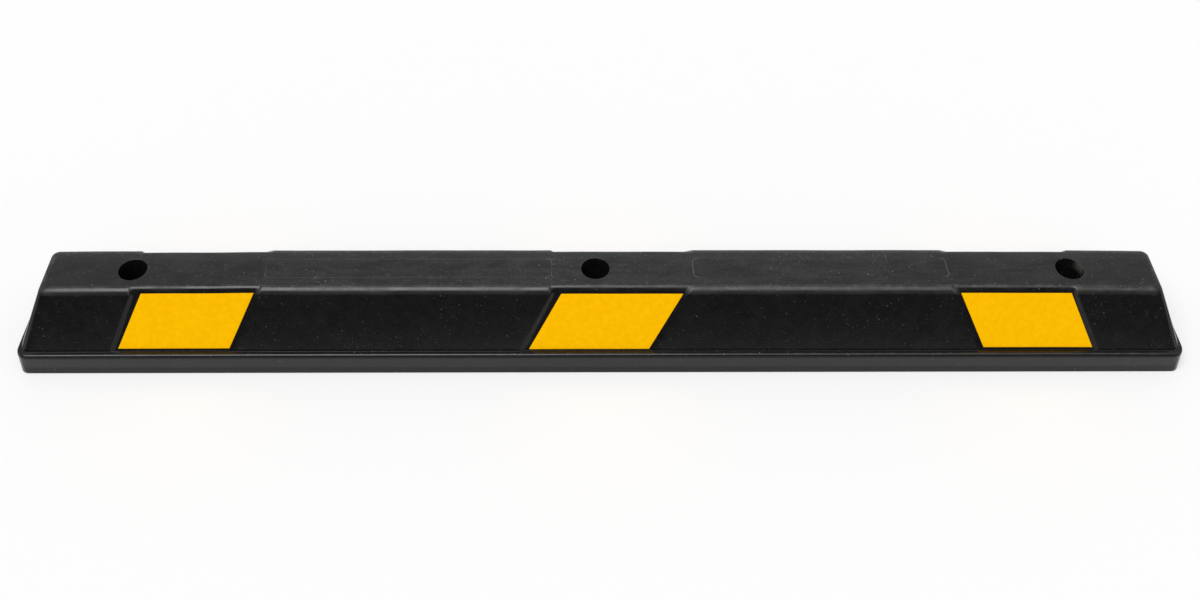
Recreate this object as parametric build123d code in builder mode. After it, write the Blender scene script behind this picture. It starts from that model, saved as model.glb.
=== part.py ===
"""Rubber wheel stop: a moulded bar with hipped ends on a plinth, with reflective panels in sunk pockets.

Millimetres. X runs along the bar, -Y is the front, which the panels are read from, and Z is up.
The origin is on the underside, at the middle of the bar.
"""

import os
from math import atan2, cos, degrees, hypot, radians, sin, tan

from build123d import *

# Overall size of the bar
length = 1379.0
width = 150.0
height = 100.0

# Plinth: the foot of the bar, whose walls flare out to the ground, with a narrow ledge left round the slopes
plinth_height = 30.5
plinth_flare = 0.8
plinth_corner = 12.0
plinth_edge_round = 4.5
ledge = 7.2
end_ledge = 5.6

# Hip: four slopes that rise from the ledge to the flat top
top_length = 1295.2
top_width = 62.4
hip_round = 11.0
crease_round = 8.5
foot_round = 0.4

# Fixing holes: a wide recess for the bolt head above a narrow hole for its shank
hole_offset = 547.0
middle_hole_x = -9.5
recess_radius = 16.4
recess_depth = 62.0
shank_radius = 8.0
hole_rim_round = 0.6

# Reflective panels: leaning sheets, listed from left to right, of which the centre one is the widest
panel_names = ["left", "centre", "right"]
panel_places = [-484.8, 3.0, 495.4]
panel_widths = [129.5, 141.0, 129.0]
panel_lows = [3.3, 1.7, 3.3]
panel_highs = [71.6, 70.0, 70.8]
panel_thickness = 0.8

# Lean of the panels and pockets: how far they shift along the bar over a rise of lean_rise up the slope
panel_leans = [35.0, 38.4, -34.3]
lean_rise = 68.4
lean_middle = 37.2

# Pockets: sunk bands up the long slopes, shallow at the foot, with sloping side walls and rounded edges
pocket_depth = 2.9
pocket_foot_depth = 1.1
pocket_left_margins = [5.1, 5.8, 0.9]
pocket_right_margins = [0.7, 0.8, 0.9]
pocket_wall_angle = 30.0
pocket_edge_round = 6.0
pocket_edge_angle = 6.0
cutter_reach = 12.0

# Mould insert lines: a fine raised outline on the top of each long land between pockets
line_spans = [(-393.0, -60.0), (104.0, 400.0)]
line_breadth = 30.2
line_middle = 1.5
line_corner = 5.0
line_width = 1.2
line_height = 0.4

# Underside: open cells between solid bosses, with cross ribs
boss_length = 92.0
rib = 14.0
end_wall = 31.0
cells_per_bay = 4
cell_width = 106.0
cell_roof_width = 68.0
cell_depth = 60.0
cell_draft = 4.0
cell_corner = 9.0

# Values that follow from the ones above
plinth_draft = degrees(atan2(plinth_flare, plinth_height))
foot_length = length - 2 * (plinth_flare + end_ledge)
foot_width = width - 2 * (plinth_flare + ledge)
slope_run = (foot_width - top_width) / 2
slope_rise = height - plinth_height
slope_length = hypot(slope_run, slope_rise)
slope_angle = atan2(slope_rise, slope_run)
end_run = (foot_length - top_length) / 2
hole_places = [-hole_offset, middle_hole_x, hole_offset]

# The front slope's directions: up the slope, and square out of it
up_slope = Vector(0, slope_run, slope_rise).normalized()
out_of_slope = Vector(0, -slope_rise, slope_run).normalized()
slope_foot = Vector(0, -foot_width / 2, plinth_height)

# The pocket floor lies a little flatter than the slope, as the pocket deepens towards the top
floor_foot_half = foot_width / 2 - pocket_foot_depth / sin(slope_angle)
floor_top_half = top_width / 2 - pocket_depth / sin(slope_angle)
out_of_floor = Vector(0, -slope_rise, floor_foot_half - floor_top_half).normalized()

# The pocket wall's section: straight from the floor, then rounded out to the land
wall_angle = radians(pocket_wall_angle)
edge_angle = radians(pocket_edge_angle)
round_rise = pocket_edge_round * (cos(edge_angle) - cos(wall_angle))

# Each pocket's middle, and half the width of its floor where it is deepest
pocket_places = []
floor_halves = []
pocket_margins = list(zip(pocket_left_margins, pocket_right_margins))
for place, panel_width, (left, right) in zip(panel_places, panel_widths, pocket_margins):
    pocket_places.append(place + (right - left) / 2)
    floor_halves.append((panel_width + left + right) / 2)


def leaning_x(centre, lean, up):
    """Place along the bar of a leaning band's middle line, at a distance up the slope."""
    return centre + lean * (up - lean_middle) / lean_rise


def plain_bar(foot_half, top_half, crease):
    """The bar on its plinth, with half the widths of its hip at the foot and at the top, and its crease round."""
    with BuildPart() as bar:
        with BuildSketch(Plane.YZ):
            with BuildLine():
                Polyline(
                    (-foot_half, plinth_height),
                    (foot_half, plinth_height),
                    (top_half, height),
                    (-top_half, height),
                    close=True,
                )
            make_face()
        extrude(amount=foot_length / 2, both=True)
        for end in (-1, 1):
            end_slope = Plane(
                origin=(end * foot_length / 2, 0, plinth_height),
                x_dir=(0, 1, 0),
                z_dir=(end * slope_rise, 0, end_run),
            )
            split(bisect_by=end_slope, keep=Keep.BOTTOM)
        hips = bar.edges().filter_by(Axis.X, reverse=True).filter_by(Axis.Y, reverse=True)
        fillet(hips, hip_round)
        with BuildSketch():
            RectangleRounded(length, width, plinth_corner)
        extrude(amount=plinth_height, taper=plinth_draft)
        level_faces = bar.faces().filter_by(Plane.XY).sort_by(Axis.Z)
        fillet(level_faces[1].outer_wire().edges(), plinth_edge_round)
        level_faces = bar.faces().filter_by(Plane.XY).sort_by(Axis.Z)
        fillet(level_faces[-1].edges(), crease)
        level_faces = bar.faces().filter_by(Plane.XY).sort_by(Axis.Z)
        fillet(level_faces[1].inner_wires().edges(), foot_round)
    return bar.part


# The full bar gives the lands, and a bar with sunk slopes gives the pocket floors
full_bar = plain_bar(foot_width / 2, top_width / 2, crease_round)
sunk_bar = plain_bar(floor_foot_half, floor_top_half, crease_round - pocket_depth)

# Space of the pockets: a trench section carried down each slope at the panel's lean, between the two bars
trench_top = slope_length + cutter_reach
trench_travel = slope_length + 2 * cutter_reach
wall_length = (cutter_reach + pocket_depth - round_rise) / sin(wall_angle)
with BuildPart() as pocket_space:
    for centre, lean, floor_half in zip(pocket_places, panel_leans, floor_halves):
        deep_half = floor_half - cutter_reach / tan(wall_angle)
        start = slope_foot + up_slope * trench_top - out_of_slope * pocket_depth
        start = start + Vector(leaning_x(centre, lean, trench_top), 0, 0)
        with BuildSketch(Plane(origin=start, x_dir=(1, 0, 0), z_dir=-up_slope)):
            with BuildLine():
                base = Line((0, -cutter_reach), (deep_half, -cutter_reach))
                wall = PolarLine(base @ 1, wall_length, pocket_wall_angle)
                turn = JernArc(wall @ 1, wall % 1, pocket_edge_round, pocket_edge_angle - pocket_wall_angle)
                lip = PolarLine(turn @ 1, cutter_reach, pocket_edge_angle)
                Polyline(lip @ 1, ((lip @ 1).X, cutter_reach), (0, cutter_reach))
                mirror(about=Plane.YZ)
            make_face()
        down_the_lean = Vector(-lean / lean_rise, 0, 0) - up_slope
        extrude(amount=trench_travel * down_the_lean.length, dir=down_the_lean)
    mirror(about=Plane.XZ)
    add(full_bar, mode=Mode.INTERSECT)
    add(sunk_bar, mode=Mode.SUBTRACT)

# Cells under the bar: each bay between two bosses is shared out evenly, and each end has one cell
cell_spans = []
for left, right in zip(hole_places, hole_places[1:]):
    bay_start = left + boss_length / 2
    bay_length = right - left - boss_length
    cell_length = (bay_length - rib * (cells_per_bay - 1)) / cells_per_bay
    for index in range(cells_per_bay):
        cell_start = bay_start + index * (cell_length + rib)
        cell_spans.append((cell_start, cell_start + cell_length))
cell_spans.append((end_wall - length / 2, hole_places[0] - boss_length / 2))
cell_spans.append((hole_places[-1] + boss_length / 2, length / 2 - end_wall))

with BuildPart() as underside_cells:
    for cell_start, cell_end in cell_spans:
        middle = (cell_start + cell_end) / 2
        span = cell_end - cell_start
        with BuildSketch():
            with Locations((middle, 0)):
                RectangleRounded(span, cell_width, cell_corner)
        with BuildSketch(Plane.XY.offset(cell_depth)):
            with Locations((middle, 0)):
                RectangleRounded(span - 2 * cell_draft, cell_roof_width, cell_corner)
        loft(ruled=True)

with BuildPart() as moulded_body:
    add(full_bar)
    add(pocket_space.part, mode=Mode.SUBTRACT)
    add(underside_cells.part, mode=Mode.SUBTRACT)
    with Locations(*[(x, 0, height) for x in hole_places]):
        CounterBoreHole(shank_radius, recess_radius, recess_depth)
    rims = moulded_body.edges().filter_by(GeomType.CIRCLE).filter_by_position(Axis.Z, height, height)
    fillet(rims, hole_rim_round)
    for line_start, line_end in line_spans:
        line_length = line_end - line_start
        with BuildSketch(Plane.XY.offset(height)):
            with Locations(((line_start + line_end) / 2, line_middle)):
                RectangleRounded(line_length, line_breadth, line_corner)
                RectangleRounded(
                    line_length - 2 * line_width,
                    line_breadth - 2 * line_width,
                    line_corner - line_width,
                    mode=Mode.SUBTRACT,
                )
        extrude(amount=line_height)

os.makedirs("parts", exist_ok=True)
moulded_body.part.label = "moulded_body"
export_step(moulded_body.part, "parts/moulded_body.step")

# Reflective panels: thin plates on the pocket floors, with the rear ones mirrored from the front ones
floor_plane = Plane(origin=(0, -floor_foot_half, plinth_height), x_dir=(1, 0, 0), z_dir=out_of_floor)
panel_sizes = zip(panel_names, panel_places, panel_leans, panel_widths, panel_lows, panel_highs)
for name, centre, lean, panel_width, low, high in panel_sizes:
    low_x = leaning_x(centre, lean, low)
    high_x = leaning_x(centre, lean, high)
    half = panel_width / 2
    with BuildPart() as front_panel:
        with BuildSketch(floor_plane):
            with BuildLine():
                Polyline(
                    (low_x - half, low),
                    (low_x + half, low),
                    (high_x + half, high),
                    (high_x - half, high),
                    close=True,
                )
            make_face()
        extrude(amount=panel_thickness)
    with BuildPart() as rear_panel:
        mirror(front_panel.part, about=Plane.XZ)
    for side, panel in (("front", front_panel), ("rear", rear_panel)):
        panel.part.label = f"{side}_panel_{name}"
        export_step(panel.part, f"parts/{panel.part.label}.step")

print("slope angle", round(degrees(slope_angle), 1))
print("pocket floor widths", [round(2 * half, 1) for half in floor_halves])
print("body volume, litres", round(moulded_body.part.volume / 1e6, 2))
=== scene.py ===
# %% [markdown]
# # A rubber wheel stop
# A wheel stop is a long bar of moulded rubber, bolted across the end of a parking bay. Its packed
# CAD model gives the frame: every piece stands in it at its real size and place, in metres. This
# script dresses that frame for a studio picture, and moves or resizes nothing in it.

# %% load the frame
import math

import bmesh
import bpy
import numpy as np
from mathutils import Matrix, Vector


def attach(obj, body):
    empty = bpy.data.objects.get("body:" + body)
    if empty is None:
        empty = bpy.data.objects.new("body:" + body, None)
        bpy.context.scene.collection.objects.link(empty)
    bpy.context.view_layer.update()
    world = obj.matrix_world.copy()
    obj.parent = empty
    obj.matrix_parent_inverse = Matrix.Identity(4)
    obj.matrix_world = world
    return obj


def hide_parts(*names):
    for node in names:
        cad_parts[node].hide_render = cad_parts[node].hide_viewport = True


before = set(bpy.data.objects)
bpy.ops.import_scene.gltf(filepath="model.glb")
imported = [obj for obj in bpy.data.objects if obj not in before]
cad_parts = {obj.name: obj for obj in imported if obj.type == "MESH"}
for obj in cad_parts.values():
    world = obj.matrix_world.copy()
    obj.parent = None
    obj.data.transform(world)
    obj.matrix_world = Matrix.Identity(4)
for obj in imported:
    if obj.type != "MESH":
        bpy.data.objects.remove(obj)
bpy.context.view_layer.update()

# %% [markdown]
# The camera stands in front of the bar and looks down on it at about 49 degrees. Its turn, tilt and
# distance were found by matching the bar's edges, panels and holes to their places in the picture.
# A Track To constraint could aim it, but can't roll it, so its matrix is written directly. A camera looks
# along its own -Z, so the matrix has right, up and backwards as its columns.

# %% camera
picture_width = 1200
focal_length_in_pixels = 1184.87
sensor_width = 36.0
look_at = Vector((-0.0036, 0.0, 0.04512))
look_distance = 1.42476
look_down = math.radians(48.873)
look_right = math.radians(1.109)
camera_roll = math.radians(0.777)


def camera_axes(down, right, roll):
    """Forward from the two angles, then right and up square to it, both turned by the roll."""
    forward = Vector((
        math.sin(right) * math.cos(down),
        math.cos(right) * math.cos(down),
        -math.sin(down),
    ))
    across = Vector((math.cos(right), -math.sin(right), 0.0))
    up = across.cross(forward)
    turned_across = across * math.cos(roll) + up * math.sin(roll)
    turned_up = up * math.cos(roll) - across * math.sin(roll)
    return turned_across, turned_up, forward


across, up, forward = camera_axes(look_down, look_right, camera_roll)
camera_data = bpy.data.cameras.new("camera")
camera_data.sensor_width = sensor_width
camera_data.lens = focal_length_in_pixels * sensor_width / picture_width
camera = bpy.data.objects.new("camera", camera_data)
turn = Matrix((across, up, -forward)).transposed().to_4x4()
camera.matrix_world = Matrix.Translation(look_at - forward * look_distance) @ turn
bpy.context.scene.collection.objects.link(camera)
bpy.context.scene.camera = camera
print("camera at", [round(value, 3) for value in camera.location], "lens", round(camera_data.lens, 2))

# %% [markdown]
# The bar is one moulding. Seen from above, each level of it is a rounded rectangle, so its skin can be
# made as a stack of closed rings: the section of the bar says how far in and how high each ring lies.
# Where a pocket is sunk into a long slope, the ring follows a second, sunk section instead. Boolean
# modifiers could cut this shape from a block, but rings give even quads, which shade cleanly on rounded
# rubber. The sizes here are the drawing's, in millimetres, and become metres when the mesh is made.

# %% sizes of the bar, in millimetres
metre = 0.001
half_length = 689.5
half_width = 75.0
height = 100.0
plinth_height = 30.5
plinth_flare = 0.8
end_flare = 2.0
plinth_edge_across = 3.5
plinth_edge_down = 6.0
bottom_edge_round = 0.5
ledge = 7.2
end_ledge = 4.4
top_half_length = 647.6
top_half_width = 31.2
crease_round = 8.5
foot_round = 0.3
pocket_depth = 2.9
pocket_foot_depth = 1.1

quarter_turn = math.pi / 2
plinth_top_half = half_width - plinth_flare
foot_half_width = plinth_top_half - ledge
slope_rise = height - plinth_height
slope_run = foot_half_width - top_half_width
slope_angle = math.atan2(slope_rise, slope_run)
slope_length = math.hypot(slope_rise, slope_run)
flare_angle = math.atan2(plinth_flare, plinth_height)
print("slope of", round(math.degrees(slope_angle), 1), "degrees and", round(slope_length, 1), "mm")

# %% [markdown]
# The section is drawn from the underside up to the top: straight runs joined by rounds. A Bevel modifier
# could round the edges, but here each has its own radius, and the plinth's is part of an ellipse. The
# points are pairs of distance out from the bar's middle and height. Both sections, full and sunk, have
# the same number of points, so that one can be blended into the other point by point.

# %% section of the bar
top_strip = 22.0
under_strip = 60.0
round_points = {"bottom edge": 6, "plinth edge": 12, "foot": 5, "crease": 11}
run_points = {"underside": 2, "plinth wall": 8, "ledge": 2, "slope": 22, "top": 2}


def round_of(centre, radius, start, end, count):
    """Points of a round: the centre plus the radius times the sine, outwards, and the cosine, upwards.

    A pair of radii, across and up, makes it part of an ellipse.
    """
    angle = np.linspace(start, end, count)[:, None]
    return np.asarray(centre) + radius * np.concatenate([np.sin(angle), np.cos(angle)], axis=1)


def run_of(start, end, count):
    """Evenly spaced points between two places, without the places themselves."""
    share = np.linspace(0, 1, count + 2)[1:-1, None]
    return np.asarray(start) * (1 - share) + np.asarray(end) * share


def section_of(foot_inset, top_inset):
    """The stretches of the section by name, with the slope's foot and top moved in, square to the slope."""
    foot_out = foot_half_width - foot_inset / math.sin(slope_angle)
    top_out = top_half_width - top_inset / math.sin(slope_angle)
    rise_angle = math.atan2(slope_rise, foot_out - top_out)
    bend = crease_round - top_inset
    lean = math.tan(rise_angle / 2)
    bottom_out = half_width - bottom_edge_round * (1 + math.sin(flare_angle)) / math.cos(flare_angle)
    bottom_centre = (bottom_out, bottom_edge_round)
    bottom_end = quarter_turn - flare_angle
    edge_radii = np.array([plinth_edge_across, plinth_edge_down])
    edge_centre = np.array([plinth_top_half, plinth_height]) - edge_radii
    foot_centre = (foot_out + foot_round * lean, plinth_height + foot_round)
    crease_centre = (top_out - bend * lean, height - bend)
    bottom = round_of(bottom_centre, bottom_edge_round, math.pi, bottom_end, round_points["bottom edge"])
    edge = round_of(edge_centre, edge_radii, quarter_turn, 0, round_points["plinth edge"])
    foot = round_of(foot_centre, -foot_round, 0, rise_angle, round_points["foot"])
    crease = round_of(crease_centre, bend, rise_angle, 0, round_points["crease"])
    under = np.array([[under_strip, 0.0]])
    top = np.array([[top_strip, height]])
    return {
        "underside": np.concatenate([under, run_of(under[0], bottom[0], run_points["underside"])]),
        "bottom edge": bottom,
        "plinth wall": run_of(bottom[-1], edge[0], run_points["plinth wall"]),
        "plinth edge": edge,
        "ledge": run_of(edge[-1], foot[0], run_points["ledge"]),
        "foot": foot,
        "slope": run_of(foot[-1], crease[0], run_points["slope"]),
        "crease": crease,
        "top": np.concatenate([run_of(crease[-1], top[0], run_points["top"]), top]),
    }


land_stretches = section_of(0.0, 0.0)
land_section = np.concatenate(list(land_stretches.values()))
sunk_section = np.concatenate(list(section_of(pocket_foot_depth, pocket_depth).values()))
stretch = np.concatenate([[name] * len(points) for name, points in land_stretches.items()])
ring_count = len(land_section)
print("section of", ring_count, "points, up to", land_section[:, 1].max(), "mm high")

# %% [markdown]
# Each point of the section gives one ring. At the ends of the bar the ledge is narrower and the plinth
# flares out more than along the sides, and the corners in plan are rounder at the ledge than at the top.
# So both the ring's end and its corner are looked up by the ring's distance out. In the flat underside
# the corners fade to square.

# %% ends and corners of the rings
top_corner_out = 25.0
plan_corners = {
    top_strip: 0.0,
    top_corner_out: 5.0,
    top_half_width: 8.0,
    foot_half_width: 12.0,
    plinth_top_half: 14.0,
    half_width: 10.0,
}
end_places = {
    top_strip: top_half_length - (top_half_width - top_strip),
    top_half_width: top_half_length,
    foot_half_width: half_length - end_flare - end_ledge,
    plinth_top_half: half_length - end_flare,
    half_width: half_length,
}

ring_out = land_section[:, 0]
ring_up = land_section[:, 1]
corner_round = np.where(
    stretch == "underside",
    np.interp(ring_out, [under_strip, half_width], [0.0, plan_corners[half_width]]),
    np.interp(ring_out, list(plan_corners), list(plan_corners.values())),
)
end_out = np.interp(ring_out, list(end_places), list(end_places.values()))
side_end = end_out - corner_round
print("corners from", corner_round.min(), "to", round(corner_round.max(), 1), "mm")

# %% [markdown]
# Six shallow pockets in the long slopes hold the reflective panels. They could be cut out afterwards, but
# if each ring knows where the walls are, the mesh itself follows them. The pockets lean, so their walls
# slide along the bar as the ring climbs the slope. Just under the top, where a land ends in a narrow
# corner, the rubber has rounded off and the wall turns aside. On the plinth wall the places slide back,
# so that they are the same on the underside as on the top.

# %% pockets up the slope
panel_places = np.array([-484.8, 3.0, 495.4])
panel_widths = np.array([129.5, 141.0, 129.0])
panel_slants = np.array([35.0, 38.4, -34.3])
panel_middle = 37.2
panel_rise = 68.4
# Two rows each: the left walls of the three pockets, then their right walls
foot_margins = np.array([[2.0, 3.5, -0.5], [-0.8, -0.5, -0.4]])
crease_margins = np.array([[5.5, 5.5, -0.5], [-0.5, -0.5, -0.4]])
crease_turns = np.array([[-8.1, -10.8, -6.0], [4.3, 3.3, 4.1]])
turn_start = 69.0
crease_reach = 0.65
pocket_floor_round = 5.5
pocket_edge_round = 5.5

slant_per_rise = panel_slants / panel_rise
both_rounds = pocket_floor_round + pocket_edge_round
wall_turn = math.acos(1 - pocket_depth / both_rounds)
floor_run = pocket_floor_round * math.sin(wall_turn)
wall_reach = both_rounds * math.sin(wall_turn)

wall_top = plinth_height - plinth_edge_down
climb = np.clip((ring_up - plinth_height) / math.sin(slope_angle), 0, slope_length)
climb = climb + slope_length * np.clip((wall_top - ring_up) / wall_top, 0, 1)
turned = np.clip((climb - turn_start) / (slope_length - turn_start), 0, 1)[:, None]
middles = panel_places + slant_per_rise * (climb[:, None] - panel_middle)
up_share = climb[:, None] / slope_length
left_margin, right_margin = foot_margins[:, None] * (1 - up_share) + crease_margins[:, None] * up_share
floor_starts = middles - panel_widths / 2 - left_margin + crease_turns[0] * turned
floor_ends = middles + panel_widths / 2 + right_margin + crease_turns[1] * turned
reach_share = 1 - (1 - crease_reach) * turned
reach = wall_reach * reach_share
pocket_marks = np.stack([floor_starts - reach, floor_starts, floor_ends, floor_ends + reach], axis=2)
print("under the top, the pockets start at", pocket_marks[-1, :, 0].round(1), "mm")

# %% [markdown]
# Along the bar, a ring needs closely spaced points on the pocket walls. With even spacing that would take
# about five times as many, so the points are shared out between marks: the ends of the side, and the two
# edges of every wall. On the rear slope the corners of the lands have rounded off a little more, which
# shifts the same points near the crease.

# %% points along the bar
end_steps = 14
land_steps = 80
pocket_steps = [9, 34, 9]
# The left walls of the three rear pockets, then their right walls
rear_turns = np.array([[0.7, 0.8, -5.2], [7.5, 8.5, 6.0]])

marks = np.column_stack([-side_end, pocket_marks.reshape(ring_count, -1), side_end])
steps_between = np.array([
    end_steps, *pocket_steps, land_steps, *pocket_steps, land_steps, *pocket_steps, end_steps,
])
span_of = np.append(np.repeat(np.arange(len(steps_between)), steps_between), len(steps_between) - 1)
share_of = np.append(np.concatenate([np.arange(count) / count for count in steps_between]), 1.0)
along = marks[:, span_of] * (1 - share_of) + marks[:, span_of + 1] * share_of

rear_marks = np.concatenate([[0.0], np.repeat(rear_turns.T, 2, axis=1).ravel(), [0.0]])
rear_shift = rear_marks[span_of] * (1 - share_of) + rear_marks[span_of + 1] * share_of
rear_share = np.where(np.isin(stretch, ["slope", "crease"]), turned[:, 0], 0.0)
rear_share[stretch == "top"] = np.linspace(1, 0, (stretch == "top").sum() + 1)[1:]
rear_along = along + rear_share[:, None] * rear_shift
print("each long side has", along.shape[1], "points")

# %% [markdown]
# A pocket's depth across its wall follows two rounds, a hollow one at the floor and a full one at
# the land, as a ball-nosed cutter leaves them in the mould. It says how much of the sunk section a
# point takes. The corners and the two ends of the bar close each ring.

# %% rings of the skin
end_points = 24
corner_points = 8


def pocket_share(past_floor):
    """1 on the floor; a hollow round lifts it off the floor and a full one lays it on the land, at 0."""
    from_floor = np.clip(past_floor, 0, floor_run)
    to_land = np.clip(wall_reach - past_floor, 0, wall_reach - floor_run)
    hollow = pocket_depth - pocket_floor_round + np.sqrt(pocket_floor_round ** 2 - from_floor ** 2)
    rounded = pocket_edge_round - np.sqrt(pocket_edge_round ** 2 - to_land ** 2)
    return np.where(past_floor < floor_run, hollow, rounded) / pocket_depth


def at_ring_heights(x, y):
    """Points of all the rings at once, from their x and y, each at its ring's height."""
    return np.stack([x, y, np.broadcast_to(ring_up[:, None], x.shape)], axis=2)


def corner_arc(start):
    """A quarter turn round each ring's corner, from the angle start, without its two ends."""
    angle = start + np.linspace(0, quarter_turn, corner_points + 2)[1:-1]
    x_side = math.copysign(1, math.cos(start + quarter_turn / 2))
    y_side = math.copysign(1, math.sin(start + quarter_turn / 2))
    x = x_side * side_end[:, None] + corner_round[:, None] * np.cos(angle)
    y = y_side * (ring_out - corner_round)[:, None] + corner_round[:, None] * np.sin(angle)
    return at_ring_heights(x, y)


def bar_end(side):
    """The straight stretch of each ring across one end of the bar, in the ring's direction."""
    y = (ring_out - corner_round)[:, None] * np.linspace(-side, side, end_points)
    x = np.broadcast_to(side * end_out[:, None], y.shape)
    return at_ring_heights(x, y)


before_floor = floor_starts[:, None, :] - along[:, :, None]
after_floor = along[:, :, None] - floor_ends[:, None, :]
past_floor = np.maximum(before_floor, after_floor).min(axis=2) / reach_share
sunk_share = pocket_share(past_floor)
full_side = land_section[:, None, :] * (1 - sunk_share[:, :, None])
side_section = full_side + sunk_section[:, None, :] * sunk_share[:, :, None]
front_side = np.stack([along, -side_section[:, :, 0], side_section[:, :, 1]], axis=2)
rear_side = np.stack([rear_along, side_section[:, :, 0], side_section[:, :, 1]], axis=2)[:, ::-1]
skin = np.concatenate([
    front_side, corner_arc(-quarter_turn), bar_end(1.0), corner_arc(0.0),
    rear_side, corner_arc(quarter_turn), bar_end(-1.0), corner_arc(2 * quarter_turn),
], axis=1)
print("skin of", skin.shape[0], "rings with", skin.shape[1], "points each")

# %% [markdown]
# The three fixing holes go right through. A Boolean cut would leave thin faces round their mouths, which
# shade badly, so each is a stack of rings too: from a rectangle in the top's middle strip to the round
# mouth, over its rounded rim, down the wide recess for the bolt head, across the recess floor, down the
# narrow shank hole and out to a rectangle on the underside.

# %% fixing holes
hole_places = [-547.0, -9.5, 547.0]
recess_radius = 16.4
recess_depth = 62.0
shank_radius = 8.0
rim_round = 0.6
shank_chamfer = 0.4
patch_half = 24.0
hole_points = {"rim": 6, "recess wall": 8, "bed": 4, "recess floor": 2, "shank wall": 4}
mouth_shares = np.array([0.0, 0.3, 0.6, 0.85])[:, None, None]
under_shares = np.array([0.5, 1.0])[:, None, None]

recess_floor = height - recess_depth
top_along = along[-1]
under_along = along[0]
top_rows = np.linspace(-top_strip, top_strip, end_points)
under_rows = np.linspace(-under_strip, under_strip, end_points)


def rectangle_ring(columns, rows, level):
    """The outline of a grid, once round against the clock: front, right, rear and left."""
    sides = np.full(len(rows) - 1, 1.0)
    runs = np.full(len(columns) - 1, 1.0)
    x = np.concatenate([columns[:-1], columns[-1] * sides, columns[:0:-1], columns[0] * sides])
    y = np.concatenate([rows[0] * runs, rows[:-1], rows[-1] * runs, rows[:0:-1]])
    return np.column_stack([x, y, np.full(len(x), level)])


def hole_path():
    """Radius and height from the rim down to the foot of the shank hole."""
    rim_centre = (recess_radius + rim_round, height - rim_round)
    bed_centre = (recess_radius - rim_round, recess_floor + rim_round)
    rim = round_of(rim_centre, rim_round, 0, -quarter_turn, hole_points["rim"])
    bed = round_of(bed_centre, -rim_round, -quarter_turn, 0, hole_points["bed"])
    shank_top = np.array([
        (shank_radius + shank_chamfer, recess_floor),
        (shank_radius, recess_floor - shank_chamfer),
    ])
    shank_foot = np.array([(shank_radius, 0.0)])
    return np.concatenate([
        rim, run_of(rim[-1], bed[0], hole_points["recess wall"]),
        bed, run_of(bed[-1], shank_top[0], hole_points["recess floor"]),
        shank_top, run_of(shank_top[-1], shank_foot[0], hole_points["shank wall"]), shank_foot,
    ])


def hole_rings(place, first, last):
    """Mouth, circles of the hole's path and rim below, at the angles of the top rectangle's points."""
    outer = rectangle_ring(top_along[first:last + 1], top_rows, height)
    under = rectangle_ring(under_along[first:last + 1], under_rows, 0.0)
    angle = np.arctan2(outer[:, 1], outer[:, 0] - place)
    path = hole_path()
    x = place + path[:, :1] * np.cos(angle)
    y = path[:, :1] * np.sin(angle)
    circles = np.stack([x, y, np.broadcast_to(path[:, 1:], x.shape)], axis=2)
    mouth = outer * (1 - mouth_shares) + circles[0] * mouth_shares
    below = circles[-1] * (1 - under_shares) + under * under_shares
    return np.concatenate([mouth, circles, below])


def columns_round(place):
    """First and last column of the top strip that the rectangle round a hole takes."""
    first = int(np.searchsorted(top_along, place - patch_half)) - 1
    last = int(np.searchsorted(top_along, place + patch_half))
    return first, last


hole_columns = [columns_round(place) for place in hole_places]
holes = [hole_rings(place, *columns) for place, columns in zip(hole_places, hole_columns)]
print("holes of", [rings.shape[:2] for rings in holes], "rings and points")

# %% [markdown]
# The underside is cored out into open cells with ribs between them, which saves rubber and lets the
# moulding cure evenly. Inset and extruded faces could make them, but a stack of rounded rectangles gives
# the walls their draft and the roof its round. The rectangles widen from the roof to the mouth, and then
# run out to a plain one that meets the next cell's.

# %% cells under the bar
boss_length = 92.0
rib = 14.0
end_wall = 31.0
cells_per_bay = 4
cell_half_width = 53.0
cell_roof_half_width = 34.0
cell_depth = 60.0
cell_draft = 4.0
cell_corner = 9.0
cell_roof_round = 6.0
roof_round_points = 6
roof_corner = cell_corner / 3
roof_insets = (24.0, 15.0)
wall_shares = (0.3, 0.5, 0.7, 0.9, 1.0)
least_reach = 1e-9


def bay_of_cells(left, right):
    """Start and end of each cell between two bosses, which share the bay's length evenly."""
    length = (right - left - boss_length - rib * (cells_per_bay - 1)) / cells_per_bay
    starts = left + boss_length / 2 + np.arange(cells_per_bay) * (length + rib)
    return [(start, start + length) for start in starts]


def rounded_outline(on_square, middle, half, corner, level):
    """A rounded rectangle: points of a square, stretched, with those in a corner pulled onto its round."""
    side = np.sign(on_square)
    point = on_square * half
    corner_centre = side * np.maximum(half - corner, 0)
    past = point - corner_centre
    in_corner = (side * past > 0).all(axis=1)[:, None]
    reach = np.maximum(np.linalg.norm(past, axis=1, keepdims=True), least_reach)
    point = np.where(in_corner, corner_centre + past * corner / reach, point)
    return np.column_stack([point + middle, np.full(len(point), level)])


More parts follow.
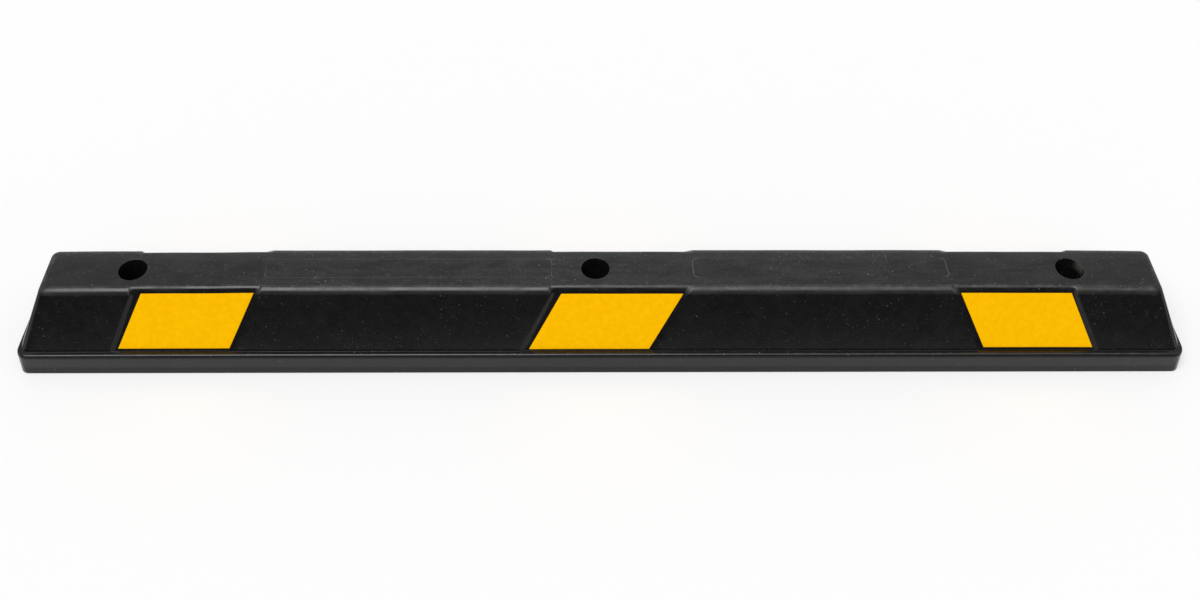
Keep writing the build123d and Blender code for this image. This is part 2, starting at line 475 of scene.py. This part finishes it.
def cell_rings(span, first, last):
    """Roof, rounded roof edge, drafted walls, mouth and the flat rim round it."""
    outer = rectangle_ring(under_along[first:last + 1], under_rows, 0.0)
    low = outer[:, :2].min(axis=0)
    high = outer[:, :2].max(axis=0)
    on_square = (2 * outer[:, :2] - low - high) / (high - low)
    middle = np.array([(span[0] + span[1]) / 2, 0.0])
    mouth_half = np.array([(span[1] - span[0]) / 2, cell_half_width])
    roof_half = np.array([mouth_half[0] - cell_draft, cell_roof_half_width])

    def outline(down, pulled, corner, level):
        half = roof_half * (1 - down) + mouth_half * down - pulled
        return rounded_outline(on_square, middle, half, corner, level)

    roof = [outline(0.0, pulled, roof_corner, cell_depth) for pulled in roof_insets]
    turns = np.linspace(0, quarter_turn, roof_round_points)
    drops = cell_roof_round * (1 - np.cos(turns))
    pulls = cell_roof_round * (1 - np.sin(turns))
    bend = [outline(drop / cell_depth, pulled, cell_corner - pulled / 2, cell_depth - drop)
            for drop, pulled in zip(drops, pulls)]
    wall = [outline(down, 0.0, cell_corner, cell_depth * (1 - down)) for down in wall_shares]
    rim = [(wall[-1] + outer) / 2, outer]
    return np.stack(roof + bend + wall + rim)


cell_spans = [(end_wall - half_length, hole_places[0] - boss_length / 2)]
cell_columns = [(0, hole_columns[0][0])]
for bay in range(len(hole_places) - 1):
    bay_spans = bay_of_cells(hole_places[bay], hole_places[bay + 1])
    ribs = [(before[1] + after[0]) / 2 for before, after in zip(bay_spans, bay_spans[1:])]
    cuts = [int(np.abs(under_along - place).argmin()) for place in ribs]
    cuts = [hole_columns[bay][1], *cuts, hole_columns[bay + 1][0]]
    cell_spans += bay_spans
    cell_columns += list(zip(cuts, cuts[1:]))
cell_spans.append((hole_places[-1] + boss_length / 2, half_length - end_wall))
cell_columns.append((hole_columns[-1][1], len(under_along) - 1))
cells = [cell_rings(span, *columns) for span, columns in zip(cell_spans, cell_columns)]
print(len(cells), "cells, the longest", round(max(end - start for start, end in cell_spans), 1), "mm")

# %% [markdown]
# The mould has a loose insert on each long land, whose joint leaves a fine raised line on the top. A curve
# with a bevel could draw it, but as part of the body's mesh it takes the same waves and wear as the top.
# It is a low bead carried round a rounded rectangle, closed in both directions like a ring doughnut. The
# left one is worn almost flat.

# %% insert lines
line_spans = [(-393.0, -60.0), (104.0, 403.0)]
line_half_span = 15.1
line_middle = 1.5
line_corner = 5.0
line_width = 1.2
line_heights = [0.10, 0.22]
line_depth = 0.3
line_points = 90
line_end_points = line_points // 4
bead_points = 9
bead_fullness = 0.7


def insert_line(start, end, crown):
    """Stations round a low bead: outlines that step in from its outer foot, over its crown and under it."""
    long_side = np.linspace(-1, 1, line_points + 1)[:-1]
    short_side = np.linspace(-1, 1, line_end_points + 1)[:-1]
    front = np.column_stack([long_side, np.full(line_points, -1.0)])
    right = np.column_stack([np.full(line_end_points, 1.0), short_side])
    on_square = np.concatenate([front, right, -front, -right])
    half = np.array([(end - start) / 2, line_half_span])
    middle = np.array([(start + end) / 2, line_middle])
    turns = np.linspace(0, math.pi, bead_points)
    steps = line_width / 2 * (1 - np.cos(turns))
    levels = height + crown * np.sin(turns) ** bead_fullness
    steps = np.concatenate([[0.0], steps, [line_width]])
    levels = np.concatenate([[height - line_depth], levels, [height - line_depth]])
    stations = [rounded_outline(on_square, middle, half - step, line_corner - step, level)
                for step, level in zip(steps, levels)]
    return np.stack(stations + stations[:1])


lines = [insert_line(*span, crown) for span, crown in zip(line_spans, line_heights)]
print("insert lines", [round(float(np.ptp(rings[..., 0])), 1) for rings in lines], "mm long")

# %% [markdown]
# Rubber leaves its mould a little uneven: the top is crowned along the bar, and slow waves move every
# point a fraction of a millimetre, the more the higher it lies. A Displace modifier could do this to the
# body, but one formula for all the points moves the panels along with the rubber.

# %% unevenness
sway = 0.30
sway_lengths = (413.0, 187.0, 93.0)
sway_starts = (0.07, 0.31, 0.64)
swell = 0.22
swell_lengths = (529.0, 229.0, 121.0)
swell_starts = (0.35, 0.11, 0.49)
crown_middle = 1.0
crown_ends = -1.6
crown_power = 4
crown_tilt = 0.3


def waves(x, lengths, starts):
    """Sum of sine waves along the bar, divided by their number."""
    turns = x[..., None] / np.asarray(lengths) + np.asarray(starts)
    return np.sin(2 * math.pi * turns).mean(axis=-1)


def settle(points):
    """Crown, sideways waves and upward waves along the bar, in proportion to the height above the ground."""
    x = points[..., 0]
    along_share = x / half_length
    lift = np.clip(points[..., 2] / height, 0, 1)
    crown = crown_middle + (crown_ends - crown_middle) * along_share ** crown_power
    crown = crown + crown_tilt * along_share
    side = sway * waves(x, sway_lengths, sway_starts)
    rise = swell * waves(x, swell_lengths, swell_starts) + crown
    return points + np.stack([0 * x, lift * side, lift * rise], axis=-1)


top_line = settle(np.column_stack([top_along, 0 * top_along, np.full(len(top_along), height)]))
print("the top lies from", top_line[:, 2].min().round(2), "to", top_line[:, 2].max().round(2), "mm high")

# %% [markdown]
# Each point of the body carries two values that its finish reads: how worn it is, and how much pale
# colour it holds. The Geometry node's Pointiness could find the edges, but not which of them are worn. The
# creases and the plinth's edge are worn. At the lips of the pockets the crease gets more of both, which
# paints the highlight of the land's rounded corner. Pale dirt lies at the ends of the insert lines, and
# on one side of the right hole, where it is also painted light on the wall that the key light falls on.

# %% wear, dirt and painted highlights
edge_of_stretch = {"crease": 1.0, "plinth edge": 0.42}
lip_wear_and_highlight = {"crease": 2.0, "slope": 0.2}
lip_middle = 0.12
lip_breadth = 0.10
corner_highlight = 0.30
rim_wear = 0.3
line_end_wear = 2.0
line_end_dirt = [0.08, 0.34]
hole_patch_toward = np.array([0.95, 0.30])
hole_patch_reach = (0.80, 1.05)
hole_patch_heights = (86.0, 95.0)
clean_rings = 8


def by_stretch(values):
    """A column with the value of each ring's stretch, or 0 where the stretch has none."""
    return np.array([values.get(name, 0.0) for name in stretch])[:, None]


def share_between(value, low, high):
    """0 below the low value, 1 above the high one, and a straight line between them."""
    return np.clip((value - low) / (high - low), 0, 1)


def hole_wear(rings):
    """Wear on the rings of the rim, which come after those of the mouth."""
    wear = np.zeros(rings.shape[:2])
    wear[len(mouth_shares):len(mouth_shares) + hole_points["rim"]] = rim_wear
    return wear


def hole_dirt_and_light(rings, place):
    """Pale colour high on the lit side of the recess, partly dirt and partly painted light: by how far a
    point lies that way, in radii, and by its height.
    """
    toward = (rings[..., :2] - np.array([place, 0.0])) @ hole_patch_toward / recess_radius
    dirt_and_painted_light = share_between(toward, *hole_patch_reach) * share_between(rings[..., 2], *hole_patch_heights)
    dirt_and_painted_light[:clean_rings] = 0.0
    return dirt_and_painted_light


def line_ends(rings):
    """True at both ends of an insert line, as far as its corners reach."""
    x = rings[..., 0]
    return np.minimum(x - x.min(), x.max() - x) < line_corner


side_count = along.shape[1]
rear_start = side_count + end_points + 2 * corner_points
lip = np.exp(-((sunk_share - lip_middle) / lip_breadth) ** 2)
# At the crease lips the wear and pale colour are painted highlights of the lands' rounded corners.
skin_wear_and_highlight = by_stretch(edge_of_stretch) * np.ones(skin.shape[1])
skin_wear_and_highlight[:, :side_count] = np.maximum(skin_wear_and_highlight[:, :side_count], by_stretch(lip_wear_and_highlight) * lip)
skin_dirt_and_highlight = np.zeros(skin.shape[:2])
skin_dirt_and_highlight[:, :side_count] = by_stretch({"crease": corner_highlight}) * lip
for values in (skin_wear_and_highlight, skin_dirt_and_highlight):
    values[:, rear_start:rear_start + side_count] = values[:, side_count - 1::-1]
# The right hole's pale patch is partly dirt and partly painted light on the wall that the key light falls
# on.
hole_dirts_and_light = [0.0, 0.0, hole_dirt_and_light(holes[-1], hole_places[-1])]
print("wear of the skin up to", skin_wear_and_highlight.max().round(2), "and dirt up to", skin_dirt_and_highlight.max().round(2))

# %% [markdown]
# A mesh is a list of points and a list of faces, each a list of point numbers. Rings make bands of quads
# that close on themselves, and grids make open patches. Where two stretches meet, their points lie on each
# other, and merging them by distance joins the stretches into one closed skin.

# %% helpers for meshes
merge_distance = 2e-6
sliver_length = 1e-7
sharp_angle = math.radians(38)


def ring_faces(rings, first):
    """Quads from each ring to the next, all the way round, numbered from the given first point."""
    number = first + np.arange(rings.shape[0] * rings.shape[1]).reshape(rings.shape[:2])
    beside = np.roll(number, -1, axis=1)
    return np.stack([number[:-1], beside[:-1], beside[1:], number[1:]], axis=2).reshape(-1, 4)


def grid_faces(grid, first):
    """Quads of an open grid of points, numbered from the given first point."""
    number = first + np.arange(grid.shape[0] * grid.shape[1]).reshape(grid.shape[:2])
    corners = [number[:-1, :-1], number[1:, :-1], number[1:, 1:], number[:-1, 1:]]
    return np.stack(corners, axis=2).reshape(-1, 4)


def mesh_piece(name, points, faces, values):
    """A merged, smooth mesh object at the origin, with named values of its points as attributes."""
    mesh = bpy.data.meshes.new(name)
    mesh.from_pydata((settle(points) * metre).tolist(), [], faces)
    for key, value in values.items():
        mesh.attributes.new(key, "FLOAT", "POINT").data.foreach_set("value", value.astype(np.float32))
    work = bmesh.new()
    work.from_mesh(mesh)
    bmesh.ops.remove_doubles(work, verts=work.verts, dist=merge_distance)
    bmesh.ops.dissolve_degenerate(work, edges=work.edges, dist=sliver_length)
    work.to_mesh(mesh)
    open_edges = sum(not one.is_manifold for one in work.edges)
    work.free()
    mesh.shade_smooth()
    mesh.set_sharp_from_angle(angle=sharp_angle)
    piece = bpy.data.objects.new(name, mesh)
    bpy.context.scene.collection.objects.link(piece)
    print(name, len(mesh.vertices), "points", len(mesh.polygons), "faces", open_edges, "open edges")
    return piece


# %% [markdown]
# The skin, the holes, the cells, the insert lines and the plain stretches of the top strip between the
# holes become one mesh, as they are one moulding: as separate objects they would show seams in the
# shading. Each cell's roof is closed with a single face.

# %% body mesh
body_points = []
body_faces = []
body_wear_and_highlight = []
body_dirt_and_painted_light = []


def add_to_body(grid, faces_of, edge=0.0, dirt_and_painted_light=0.0):
    """Put a grid's points, faces and values behind those before it, and return its first point's number."""
    first = sum(len(points) for points in body_points)
    body_points.append(grid.reshape(-1, 3))
    body_faces.extend(faces_of(grid, first).tolist())
    body_wear_and_highlight.append(np.broadcast_to(edge, grid.shape[:2]).ravel())
    body_dirt_and_painted_light.append(np.broadcast_to(dirt_and_painted_light, grid.shape[:2]).ravel())
    return first


add_to_body(skin, ring_faces, skin_wear_and_highlight, skin_dirt_and_highlight)
for rings, dirt_and_painted_light in zip(holes, hole_dirts_and_light):
    add_to_body(rings, ring_faces, hole_wear(rings), dirt_and_painted_light)
for rings in cells:
    roof_start = add_to_body(rings, ring_faces)
    body_faces.append(list(range(roof_start + rings.shape[1] - 1, roof_start - 1, -1)))
for rings, end_dirt in zip(lines, line_end_dirt):
    at_ends = line_ends(rings)
    add_to_body(rings, ring_faces, line_end_wear * at_ends, end_dirt * at_ends)
plain_starts = [0] + [last for first, last in hole_columns]
plain_ends = [first for first, last in hole_columns] + [side_count - 1]
for start, end in zip(plain_starts, plain_ends):
    x, y = np.meshgrid(top_along[start:end + 1], top_rows, indexing="ij")
    add_to_body(np.stack([x, y, np.full(x.shape, height)], axis=2), grid_faces)

body_values = {"edge": np.concatenate(body_wear_and_highlight), "dirt_and_painted_light": np.concatenate(body_dirt_and_painted_light)}
body = mesh_piece("rubber_body", np.concatenate(body_points), body_faces, body_values)
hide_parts("moulded_body")
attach(body, "root")

# %% [markdown]
# The reflective panels are thin sheets, pressed onto the pocket floors. A flat face with the Solidify and
# Bevel modifiers would come close, but can't follow the bar's slow waves. So each is a grid over a leaning
# parallelogram, whose height falls away in a small round at all four edges. The rear panels are the
# front ones mirrored, so their faces are turned round again.

# %% reflective panels
panel_thickness = 0.8
panel_lows = [3.3, 1.7, 3.3]
panel_highs = [71.6, 70.0, 70.8]
sheet_edge_in = np.array([0.0, 0.0, 0.08, 0.25, 0.5])
sheet_edge_up = panel_thickness * np.array([0.0, 0.4, 0.75, 0.94, 1.0])
sheet_columns = 36
sheet_rows = 20

floor_foot = foot_half_width - pocket_foot_depth / math.sin(slope_angle)
floor_top = top_half_width - pocket_depth / math.sin(slope_angle)
floor_angle = math.atan2(slope_rise, floor_foot - floor_top)


def softened(length, count):
    """Places across a sheet from 0 to its length, with the height of the sheet at each."""
    inside = np.linspace(sheet_edge_in[-1], length - sheet_edge_in[-1], count)[1:-1]
    place = np.concatenate([sheet_edge_in, inside, length - sheet_edge_in[::-1]])
    level = np.concatenate([sheet_edge_up, np.full(len(inside), panel_thickness), sheet_edge_up[::-1]])
    return place, level


def panel_points(place, width, slant, low, high):
    """Leaning grid on the pocket floor: along the bar, up the slope, and out of it by the sheet's height."""
    across_sheet, across_level = softened(width, sheet_columns)
    up_sheet, up_level = softened(high - low, sheet_rows)
    level = np.minimum(across_level[:, None], up_level[None, :])
    up_floor = low + up_sheet[None, :] + 0 * level
    x = place - width / 2 + across_sheet[:, None] + slant * (up_floor - panel_middle)
    y = -floor_foot + up_floor * math.cos(floor_angle) - level * math.sin(floor_angle)
    z = plinth_height + up_floor * math.sin(floor_angle) + level * math.cos(floor_angle)
    return np.stack([x, y, z], axis=2)


panels = []
panel_sizes = zip(panel_places, panel_widths, slant_per_rise, panel_lows, panel_highs)
for name, sizes in zip(("left", "centre", "right"), panel_sizes):
    grid = panel_points(*sizes)
    faces = grid_faces(grid, 0)
    number = np.arange(grid.shape[0] * grid.shape[1]).reshape(grid.shape[:2])
    rim = np.concatenate([number[:-1, 0], number[-1, :-1], number[:0:-1, -1], number[0, :0:-1]])
    for side, mirror in (("front", 1.0), ("rear", -1.0)):
        points = grid.reshape(-1, 3) * np.array([1.0, mirror, 1.0])
        turned_faces = faces if mirror > 0 else faces[:, ::-1]
        back = rim[::-1] if mirror > 0 else rim
        sheet = mesh_piece(f"yellow_{side}_{name}", points, turned_faces.tolist() + [back.tolist()], {})
        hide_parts(f"{side}_panel_{name}")
        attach(sheet, "root")
        panels.append(sheet)

# %% [markdown]
# A finish is a small graph of nodes. The first helper adds one node, with its settings, and sets each
# input to a number or joins it to another node's output, so that a finish reads as a list of steps.

# %% helpers for finishes


def add_node(tree, kind, inputs=None, **settings):
    """A new shader node; an input given as a socket is linked, and any other value is written into it."""
    node = tree.nodes.new("ShaderNode" + kind)
    for key, value in settings.items():
        setattr(node, key, value)
    for key, value in (inputs or {}).items():
        if isinstance(value, bpy.types.NodeSocket):
            tree.links.new(value, node.inputs[key])
        else:
            node.inputs[key].default_value = value
    return node


def new_finish(name):
    """A material with its shader."""
    finish = bpy.data.materials.new(name)
    finish.use_nodes = True
    return finish, finish.node_tree.nodes["Principled BSDF"]


def own_place(tree):
    """The object's own coordinates, in metres."""
    return add_node(tree, "TexCoord").outputs["Object"]


def cloud(tree, place, scale, detail=3.0, distortion=0.0):
    """Noise from 0 to 1 whose blotches are about one over the scale across, in metres."""
    inputs = {"Vector": place, "Scale": scale, "Detail": detail, "Distortion": distortion}
    return add_node(tree, "TexNoise", inputs).outputs["Fac"]


def ramp(tree, value, low, high, to_low=0.0, to_high=1.0):
    """The value moved from one range to another in a straight line, and held at both ends."""
    inputs = {"Value": value, "From Min": low, "From Max": high, "To Min": to_low, "To Max": to_high}
    return add_node(tree, "MapRange", inputs).outputs["Result"]


def calculate(tree, operation, *values):
    """The result of one of the Math node's operations."""
    return add_node(tree, "Math", dict(enumerate(values)), operation=operation).outputs[0]


def times(tree, one, other):
    """The product of two values."""
    return calculate(tree, "MULTIPLY", one, other)


def blend(tree, share, one, other):
    """From one colour to another as the share goes from 0 to 1."""
    node = add_node(tree, "Mix", data_type="RGBA")
    sockets = [socket for socket in node.inputs if socket.enabled]
    for socket, value in zip(sockets, (share, one, other)):
        if isinstance(value, bpy.types.NodeSocket):
            tree.links.new(value, socket)
        else:
            socket.default_value = (*value, 1.0)
    return [socket for socket in node.outputs if socket.enabled][0]


# %% [markdown]
# Black rubber gives back little light of its own, so most of what is seen is its sheen: the slopes mirror
# a dark room and the top mirrors a pale one. The steep faces have a faint mottle. Dust lies on the top,
# in blotches drawn out along the bar, thicker towards the rear edge. More of the same pale grey in the
# bar's middle than at its ends is a painted pool of light. A painted image could show all this, but noise
# on the bar's own coordinates has no seams and stays sharp close up.

# %% rubber: colour, dust and painted light
rubber_black = (0.0028, 0.0028, 0.0029)
rubber_grey = (0.0114, 0.0114, 0.0115)
dust_and_light_grey = (0.0520, 0.0530, 0.0533)
above_ledge = 0.040
near_top = 0.090
broad_scale = 16.0
blotch_scale = 70.0
fine_scale = 420.0
dust_scale = 80.0
dust_stretch = (0.35, 1.0, 1.0)

rubber, shader = new_finish("moulded_rubber")
tree = rubber.node_tree
place = own_place(tree)
normal = add_node(tree, "NewGeometry").outputs["Normal"]
normal_up = add_node(tree, "SeparateXYZ", {0: normal}).outputs["Z"]
along_bar, across_bar, above = add_node(tree, "SeparateXYZ", {0: place}).outputs
on_top = times(tree, ramp(tree, normal_up, 0.80, 0.98), ramp(tree, above, above_ledge, near_top))
from_middle = calculate(tree, "ABSOLUTE", along_bar)
broad = cloud(tree, place, broad_scale, 3.0, 0.6)
blotch = cloud(tree, place, blotch_scale, 4.0, 0.8)
fine = cloud(tree, place, fine_scale, 3.0)

streak = add_node(tree, "Mapping", {"Vector": place, "Scale": dust_stretch}).outputs[0]
dust_and_painted_light = ramp(tree, cloud(tree, streak, dust_scale, 3.0, 0.8), 0.34, 0.68, 0.15, 0.39)
dust_and_painted_light = times(tree, dust_and_painted_light, ramp(tree, broad, 0.30, 0.70, 0.7, 1.1))
dust_and_painted_light = times(tree, dust_and_painted_light, ramp(tree, fine, 0.32, 0.68, 0.65, 1.35))
# Painted light: more of the pale grey in the bar's middle than towards its ends.
dust_and_painted_light = times(tree, dust_and_painted_light, ramp(tree, from_middle, 0.05, 0.62, 1.45, 0.65))
dust_and_painted_light = calculate(tree, "ADD", dust_and_painted_light, ramp(tree, across_bar, 0.008, 0.031, 0.0, 0.25))
dust_and_painted_light = times(tree, dust_and_painted_light, on_top)
steep = ramp(tree, normal_up, 0.60, 0.90, 1.0, 0.0)
mottle = times(tree, steep, ramp(tree, blotch, 0.35, 0.65, 0.36, 0.66))
colour = blend(tree, mottle, rubber_black, rubber_grey)
colour = blend(tree, dust_and_painted_light, colour, dust_and_light_grey)
print("colour and dust of", len(tree.nodes), "nodes")

# %% [markdown]
# Exposed edges are scuffed grey, where the mesh says that they are worn; at the lips of the pockets the
# same grey paints the highlight of the lands' rounded corners. Fine scratches follow the level lines of a
# cloud, and specks sit in the middle of scattered cells. Both are stronger on the top than on the slopes.
# The pale colour that the mesh carries comes last: dirt, with a painted highlight at the pocket lips and
# painted light in the right hole.

# %% rubber: wear, painted highlights, scratches and specks
scuff_and_highlight_grey = (0.060, 0.059, 0.057)
fleck_white = (0.24, 0.24, 0.235)
dirt_and_highlight_brown = (0.165, 0.154, 0.141)
scuff_scale = 95.0
scratch_scale = 34.0
scratch_level = 0.5
# Cells per metre, and the chance above which a cell has a speck
speck_kinds = ((240.0, 0.88), (430.0, 0.78))

edge = add_node(tree, "Attribute", attribute_name="edge").outputs["Fac"]
dirt_and_painted_light = add_node(tree, "Attribute", attribute_name="dirt_and_painted_light").outputs["Fac"]
wear_and_highlight = times(tree, edge, ramp(tree, cloud(tree, place, scuff_scale, 5.0), 0.45, 0.72))
wear_and_highlight = times(tree, wear_and_highlight, ramp(tree, fine, 0.35, 0.65, 0.35, 1.0))
wear_and_highlight = times(tree, wear_and_highlight, ramp(tree, normal_up, 0.60, 0.85))
colour = blend(tree, wear_and_highlight, colour, scuff_and_highlight_grey)

contour = calculate(tree, "SUBTRACT", cloud(tree, place, scratch_scale, 1.0, 2.2), scratch_level)
contour = calculate(tree, "ABSOLUTE", contour)
scratch = times(tree, ramp(tree, contour, 0.002, 0.007, 1.0, 0.0), ramp(tree, blotch, 0.54, 0.66))
scratch = times(tree, scratch, ramp(tree, on_top, 0.0, 1.0, 0.10, 0.7))
colour = blend(tree, scratch, colour, scuff_and_highlight_grey)

for cells_per_metre, rarest in speck_kinds:
    speck_cell = add_node(tree, "TexVoronoi", {"Vector": place, "Scale": cells_per_metre}).outputs
    chance = add_node(tree, "SeparateColor", {0: speck_cell["Color"]}).outputs[0]
    speck = ramp(tree, speck_cell["Distance"], 0.10, 0.24, 1.0, 0.0)
    speck = times(tree, speck, ramp(tree, chance, rarest, 1.0))
    speck = times(tree, speck, ramp(tree, broad, 0.42, 0.62, 0.5, 1.0))
    speck = times(tree, speck, ramp(tree, on_top, 0.0, 1.0, 0.42, 1.0))
    colour = blend(tree, speck, colour, fleck_white)
colour = blend(tree, dirt_and_painted_light, colour, dirt_and_highlight_brown)
tree.links.new(colour, shader.inputs["Base Color"])
print("with wear and specks,", len(tree.nodes), "nodes")

# %% [markdown]
# The dusty top is duller than the slopes, and the worn edges are polished unevenly. A low skin of waves
# with a finer grain on it breaks up the highlights. As geometry it would take millions of faces, so both
# are in the bump.

# %% rubber: sheen and grain
slope_rough = 0.15
top_rough = 0.25
dull_edge = 0.43
polished_edge = 0.19
polish_scale = 26.0
rubber_specular = 0.45
peel_scale = 300.0
peel_depth = 0.00003
grain_depth = 0.00002

rough = ramp(tree, on_top, 0.0, 1.0, slope_rough, top_rough)
edge_rough = ramp(tree, cloud(tree, place, polish_scale, 4.0), 0.36, 0.64, dull_edge, polished_edge)
rough = ramp(tree, edge, 0.0, 1.0, rough, edge_rough)
tree.links.new(rough, shader.inputs["Roughness"])
shader.inputs["Specular IOR Level"].default_value = rubber_specular
peel = add_node(tree, "Bump", {"Height": cloud(tree, place, peel_scale, 2.0), "Distance": peel_depth})
grain = add_node(tree, "Bump", {"Height": fine, "Distance": grain_depth, "Normal": peel.outputs[0]})
tree.links.new(grain.outputs[0], shader.inputs["Normal"])
body.data.materials.append(rubber)
print("rubber finish of", len(tree.nodes), "nodes in all")

# %% [markdown]
# The panels are reflective sheeting: a strong yellow film over a layer of fine glass beads. The film is
# even, with only a faint mottle, and the beads show as a very fine grain that makes it matt. They are too
# small and too many to model, so a Voronoi pattern in the bump stands for them.

# %% reflective yellow
yellow_film = (0.850, 0.427, 0.0002)
yellow_pale = (0.905, 0.476, 0.0005)
yellow_rough = 0.5
yellow_specular = 0.01
film_scale = 170.0
beads_per_metre = 1400.0
bead_depth = 0.00003

yellow, shader = new_finish("reflective_yellow")
tree = yellow.node_tree
place = own_place(tree)
mottle = ramp(tree, cloud(tree, place, film_scale, 6.0), 0.32, 0.68)
tree.links.new(blend(tree, mottle, yellow_film, yellow_pale), shader.inputs["Base Color"])
shader.inputs["Roughness"].default_value = yellow_rough
shader.inputs["Specular IOR Level"].default_value = yellow_specular
beads = add_node(tree, "TexVoronoi", {"Vector": place, "Scale": beads_per_metre}).outputs["Distance"]
bead_grain = add_node(tree, "Bump", {"Height": beads, "Distance": bead_depth})
tree.links.new(bead_grain.outputs[0], shader.inputs["Normal"])
for sheet in panels:
    sheet.data.materials.append(yellow)
print("yellow finish on", len(panels), "panels")

# %% [markdown]
# The stage is a wide white floor. In front of the bar hangs a black cloth that only reflections see: it
# keeps the sheen of the front slope dark. Grey strips on the floor, in front of the bar and beyond its
# ends, dim the white floor in the same way where the plinth, the pockets' walls and the hips mirror it.
# The two strips nearest the bar are a painted contact shadow, which makes the plinth darker towards its
# foot. A darker floor could do this too, but the camera would see it.

# %% floor and cloths
floor_white = 0.90
floor_half_size = 40.0
stage_rough = 0.9
cloth_black = 0.004
cloth_half_size = 6.0
cloth_place = -0.9
cloth_low = 0.065
cloth_high = 0.70
near_strip_front = -0.12
contact_strip_front = -0.084
near_bar = -0.0752
end_strip_start = 0.79
end_strip_end = 1.6
end_strip_rear = 0.5
end_strip_grey = 0.20
strip_level = 0.0003
# Left, right, front and rear of each strip, and its grey
floor_strips = {
    "floor_cloth": (-cloth_half_size, cloth_half_size, cloth_place, near_strip_front, 0.40),
    # The next two strips paint a contact shadow that only reflections show.
    "painted_shadow_near_bar": (-cloth_half_size, cloth_half_size, near_strip_front, contact_strip_front, 0.80),
    "painted_contact_shadow": (-cloth_half_size, cloth_half_size, contact_strip_front, near_bar, 0.58),
    "left_cloth": (-end_strip_end, -end_strip_start, near_bar, end_strip_rear, end_strip_grey),
    "right_cloth": (end_strip_start, end_strip_end, near_bar, end_strip_rear, end_strip_grey),
}


def stage_sheet(name, corners, grey):
    """A flat, matt sheet between four corners, which belongs to the stage and not to the part."""
    mesh = bpy.data.meshes.new(name)
    mesh.from_pydata(corners, [], [(0, 1, 2, 3)])
    sheet = bpy.data.objects.new(name, mesh)
    bpy.context.scene.collection.objects.link(sheet)
    paint, shader = new_finish(name)
    shader.inputs["Base Color"].default_value = (grey, grey, grey, 1.0)
    shader.inputs["Roughness"].default_value = stage_rough
    shader.inputs["Specular IOR Level"].default_value = 0.0
    mesh.materials.append(paint)
    return sheet


def level_corners(left, right, front, rear, level):
    """The four corners of a level rectangle, against the clock."""
    return [(left, front, level), (right, front, level), (right, rear, level), (left, rear, level)]


floor_sides = (-floor_half_size, floor_half_size, -floor_half_size, floor_half_size)
stage_sheet("white_floor", level_corners(*floor_sides, 0.0), floor_white)
front_cloth = [
    (-cloth_half_size, cloth_place, cloth_low),
    (cloth_half_size, cloth_place, cloth_low),
    (cloth_half_size, cloth_place, cloth_high),
    (-cloth_half_size, cloth_place, cloth_high),
]
cloths = [("front_cloth", front_cloth, cloth_black)]
for name, (*sides, grey) in floor_strips.items():
    cloths.append((name, level_corners(*sides, strip_level), grey))
for name, corners, grey in cloths:
    cloth = stage_sheet(name, corners, grey)
    cloth.visible_camera = False
    cloth.visible_diffuse = False
    cloth.visible_shadow = False
    cloth.visible_transmission = False
print("a floor and", len(cloths), "cloths")

# %% [markdown]
# Two large soft lights stand over the bar: a wide one overhead, and a smaller key light to the left and in
# front. The light of area lamps would fall off along a bar this long, so both are suns with a wide angle.
# The world's own light is weaker where it only fills shadows than where it is mirrored, and the camera
# sees it as plain white.

# %% light and world
bpy.context.scene.view_settings.view_transform = "Standard"
overhead_energy = 1.10
overhead_width = 60
overhead_stands = (0.0, -0.34, 0.94)
key_energy = 1.50
key_width = 45
key_stands = (-0.31, -0.31, 0.90)
fill_strength = 0.34
mirrored_strength = 0.52


def soft_light(name, energy, degrees_wide, stands):
    """A far, round light of a given width in the sky, which stands in the given direction."""
    light = bpy.data.lights.new(name, "SUN")
    light.energy = energy
    light.angle = math.radians(degrees_wide)
    light_object = bpy.data.objects.new(name, light)
    light_object.rotation_euler = Vector(stands).to_track_quat("Z", "Y").to_euler()
    bpy.context.scene.collection.objects.link(light_object)


soft_light("overhead", overhead_energy, overhead_width, overhead_stands)
soft_light("key", key_energy, key_width, key_stands)

world = bpy.data.worlds.new("studio")
bpy.context.scene.world = world
world.use_nodes = True
tree = world.node_tree
rays = add_node(tree, "LightPath").outputs
mirrored = calculate(tree, "MAXIMUM", rays["Is Glossy Ray"], rays["Is Transmission Ray"])
strength = ramp(tree, mirrored, 0.0, 1.0, fill_strength, mirrored_strength)
strength = calculate(tree, "MAXIMUM", rays["Is Camera Ray"], strength)
background = tree.nodes["Background"]
background.inputs["Color"].default_value = (1.0, 1.0, 1.0, 1.0)
tree.links.new(strength, background.inputs["Strength"])
print("key light of", key_energy, "and fill of", fill_strength)
